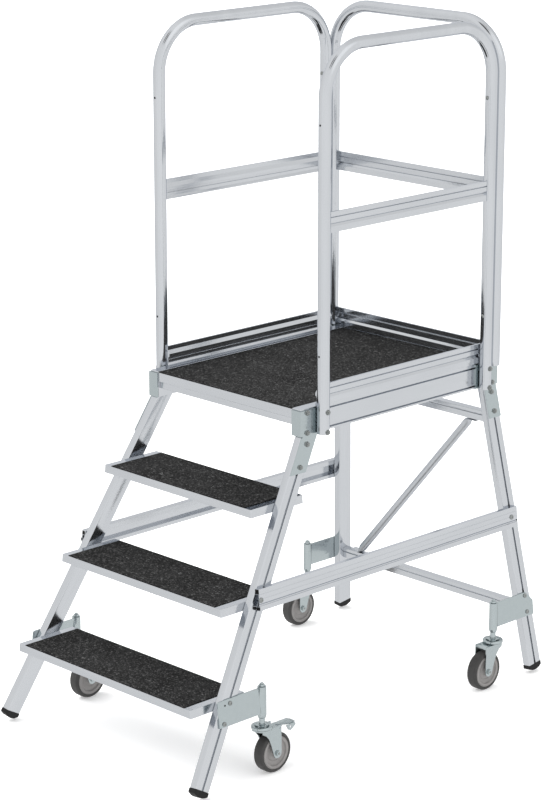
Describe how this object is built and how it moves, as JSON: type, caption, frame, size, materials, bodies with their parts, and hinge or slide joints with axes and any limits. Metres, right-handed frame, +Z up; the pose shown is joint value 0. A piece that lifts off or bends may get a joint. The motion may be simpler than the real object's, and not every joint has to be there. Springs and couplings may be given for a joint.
{
  "type": "rolling platform ladder",
  "caption": "Aluminium warehouse platform steps with wide gritted treads, a guarded standing platform, sprung swivel castors and round rubber feet.",
  "frame": {"origin": "on the floor under the middle of the outline", "axes": "+Z up, +Y the way a climber walks up the treads, +X to the climber's right"},
  "size_m": [0.828, 1.4131, 1.9607],
  "materials": {
    "anodised_aluminium": "satin anodised extrusion",
    "zinc_steel": "zinc plated pressed steel, satin",
    "gritted_grip": "black gritted anti-slip sheet",
    "black_rubber": "matt moulded rubber",
    "grey_tyre_rubber": "dark grey non-marking rubber",
    "wheel_centre_plastic": "mid-grey moulded plastic"
  },
  "bodies": {
    "ladder_frame": {"stile_left": "anodised_aluminium", "rear_leg_left": "anodised_aluminium", "stile_right": "anodised_aluminium", "rear_leg_right": "anodised_aluminium", "foot_front_left": "black_rubber", "foot_front_right": "black_rubber", "foot_rear_left": "black_rubber", "foot_rear_right": "black_rubber", "tread_1": "anodised_aluminium", "tread_1_grip": "gritted_grip", "tread_2": "anodised_aluminium", "tread_2_grip": "gritted_grip", "tread_3": "anodised_aluminium", "tread_3_grip": "gritted_grip", "platform_deck": "anodised_aluminium", "platform_grip": "gritted_grip", "platform_beam_left": "anodised_aluminium", "platform_beam_right": "anodised_aluminium", "platform_beam_rear": "anodised_aluminium", "side_rail_left": "anodised_aluminium", "side_rail_right": "anodised_aluminium", "rear_cross_rail_upper": "anodised_aluminium", "rear_cross_rail_lower": "anodised_aluminium", "diagonal_brace": "anodised_aluminium", "guard_loop_left": "anodised_aluminium", "guard_loop_right": "anodised_aluminium", "guard_loop_back": "anodised_aluminium", "knee_rail_left": "anodised_aluminium", "knee_rail_right": "anodised_aluminium", "knee_rail_back": "anodised_aluminium", "toe_board_left": "anodised_aluminium", "toe_board_right": "anodised_aluminium", "toe_board_back": "anodised_aluminium", "corner_bracket_front_left": "zinc_steel", "castor_socket_front_left": "zinc_steel", "corner_bracket_front_right": "zinc_steel", "castor_socket_front_right": "zinc_steel", "corner_bracket_rear_left": "zinc_steel", "castor_socket_rear_left": "zinc_steel", "corner_bracket_rear_right": "zinc_steel", "castor_socket_rear_right": "zinc_steel"},
    "castor_stem_front_left": {"castor_stem_front_left": "zinc_steel"},
    "castor_fork_front_left": {"castor_fork_front_left": "zinc_steel"},
    "wheel_front_left": {"wheel_hub_front_left": "wheel_centre_plastic", "wheel_tyre_front_left": "grey_tyre_rubber"},
    "brake_pedal_front_left": {"brake_pedal_front_left": "zinc_steel"},
    "castor_stem_front_right": {"castor_stem_front_right": "zinc_steel"},
    "castor_fork_front_right": {"castor_fork_front_right": "zinc_steel"},
    "wheel_front_right": {"wheel_hub_front_right": "wheel_centre_plastic", "wheel_tyre_front_right": "grey_tyre_rubber"},
    "brake_pedal_front_right": {"brake_pedal_front_right": "zinc_steel"},
    "castor_stem_rear_left": {"castor_stem_rear_left": "zinc_steel"},
    "castor_fork_rear_left": {"castor_fork_rear_left": "zinc_steel"},
    "wheel_rear_left": {"wheel_hub_rear_left": "wheel_centre_plastic", "wheel_tyre_rear_left": "grey_tyre_rubber"},
    "castor_stem_rear_right": {"castor_stem_rear_right": "zinc_steel"},
    "castor_fork_rear_right": {"castor_fork_rear_right": "zinc_steel"},
    "wheel_rear_right": {"wheel_hub_rear_right": "wheel_centre_plastic", "wheel_tyre_rear_right": "grey_tyre_rubber"}
  },
  "joints": [
    {"name": "spring_front_left", "type": "slide", "parent": "ladder_frame", "child": "castor_stem_front_left", "axis": [0, 0, 1], "range_m": [0, 0.009], "stiffness_N_per_m": 12000, "springref_m": -0.011},
    {"name": "swivel_front_left", "type": "hinge", "parent": "castor_stem_front_left", "child": "castor_fork_front_left", "pos_m": [-0.384, -0.4374, 0.135], "axis": [0, 0, 1], "continuous": true},
    {"name": "wheel_front_left", "type": "hinge", "parent": "castor_fork_front_left", "child": "wheel_front_left", "pos_m": [-0.384, -0.3984, 0.0575], "axis": [1, 0, 0], "continuous": true},
    {"name": "brake_front_left", "type": "hinge", "parent": "castor_fork_front_left", "child": "brake_pedal_front_left", "pos_m": [-0.384, -0.3904, 0.129], "axis": [-1, 0, 0], "range_deg": [0, 18]},
    {"name": "spring_front_right", "type": "slide", "parent": "ladder_frame", "child": "castor_stem_front_right", "axis": [0, 0, 1], "range_m": [0, 0.009], "stiffness_N_per_m": 12000, "springref_m": -0.011},
    {"name": "swivel_front_right", "type": "hinge", "parent": "castor_stem_front_right", "child": "castor_fork_front_right", "pos_m": [0.384, -0.4374, 0.135], "axis": [0, 0, 1], "continuous": true},
    {"name": "wheel_front_right", "type": "hinge", "parent": "castor_fork_front_right", "child": "wheel_front_right", "pos_m": [0.384, -0.3984, 0.0575], "axis": [1, 0, 0], "continuous": true},
    {"name": "brake_front_right", "type": "hinge", "parent": "castor_fork_front_right", "child": "brake_pedal_front_right", "pos_m": [0.384, -0.3904, 0.129], "axis": [-1, 0, 0], "range_deg": [0, 18]},
    {"name": "spring_rear_left", "type": "slide", "parent": "ladder_frame", "child": "castor_stem_rear_left", "axis": [0, 0, 1], "range_m": [0, 0.009], "stiffness_N_per_m": 12000, "springref_m": -0.011},
    {"name": "swivel_rear_left", "type": "hinge", "parent": "castor_stem_rear_left", "child": "castor_fork_rear_left", "pos_m": [-0.384, 0.5096, 0.135], "axis": [0, 0, 1], "continuous": true},
    {"name": "wheel_rear_left", "type": "hinge", "parent": "castor_fork_rear_left", "child": "wheel_rear_left", "pos_m": [-0.384, 0.4706, 0.0575], "axis": [1, 0, 0], "continuous": true},
    {"name": "spring_rear_right", "type": "slide", "parent": "ladder_frame", "child": "castor_stem_rear_right", "axis": [0, 0, 1], "range_m": [0, 0.009], "stiffness_N_per_m": 12000, "springref_m": -0.011},
    {"name": "swivel_rear_right", "type": "hinge", "parent": "castor_stem_rear_right", "child": "castor_fork_rear_right", "pos_m": [0.384, 0.5096, 0.135], "axis": [0, 0, 1], "continuous": true},
    {"name": "wheel_rear_right", "type": "hinge", "parent": "castor_fork_rear_right", "child": "wheel_rear_right", "pos_m": [0.384, 0.4706, 0.0575], "axis": [1, 0, 0], "continuous": true}
  ]
}
